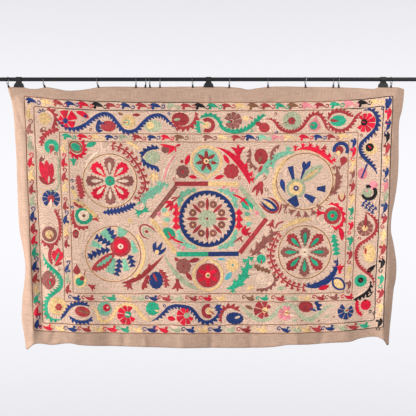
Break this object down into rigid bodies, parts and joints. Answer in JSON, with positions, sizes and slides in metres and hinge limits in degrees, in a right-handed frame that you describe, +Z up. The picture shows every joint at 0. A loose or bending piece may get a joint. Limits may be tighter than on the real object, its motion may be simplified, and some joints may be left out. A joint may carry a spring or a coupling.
{
  "type": "suzani embroidered hanging textile with its rod, ring clips and clamps",
  "caption": "One-piece linen hanging, embroidered all over with medallions, leaves and vines, hung by ring clips and broad clamps from a plain black rod.",
  "frame": {"origin": "on the rod's axis, at its middle, where a bracket would hold it", "axes": "+X along the rod, to the right as seen from the front; +Y away from the viewer, through the cloth; +Z up"},
  "size_m": [2.44, 0.0832, 1.5074],
  "materials": {
    "linen": "slubby natural weave",
    "rod_steel": "satin black",
    "black_plastic": "fine grain",
    "ring_wire": "bright wire",
    "clip_steel": "dark, worn at the edges",
    "crimson_thread": "silky stitching",
    "brick_thread": "silky stitching",
    "maroon_thread": "silky stitching",
    "blue_thread": "silky stitching",
    "green_thread": "silky stitching",
    "mint_thread": "silky stitching",
    "sage_thread": "silky stitching",
    "yellow_thread": "silky stitching",
    "cream_thread": "silky stitching",
    "pink_thread": "silky stitching",
    "black_thread": "silky stitching",
    "brown_thread": "chain stitching",
    "turquoise_thread": "silky stitching"
  },
  "bodies": {
    "root": {"cloth": "linen", "rod": "rod_steel", "rod_cap_left": "black_plastic", "rod_cap_right": "black_plastic", "clamp_left": "black_plastic", "clamp_middle": "black_plastic", "clamp_right": "black_plastic", "ring_01": "clip_steel", "ring_02": "ring_wire", "ring_03": "ring_wire", "ring_04": "ring_wire", "ring_05": "ring_wire", "ring_06": "ring_wire", "ring_07": "ring_wire", "ring_08": "ring_wire", "ring_09": "ring_wire", "ring_10": "ring_wire", "ring_11": "ring_wire", "ring_12": "ring_wire", "ring_13": "ring_wire", "ring_14": "clip_steel", "clip_01": "clip_steel", "clip_02": "clip_steel", "clip_03": "clip_steel", "clip_04": "clip_steel", "clip_05": "clip_steel", "clip_06": "clip_steel", "clip_07": "clip_steel", "clip_08": "clip_steel", "clip_09": "clip_steel", "clip_10": "clip_steel", "clip_11": "clip_steel", "clip_12": "clip_steel", "clip_13": "clip_steel", "clip_14": "clip_steel"}
  },
  "joints": []
}
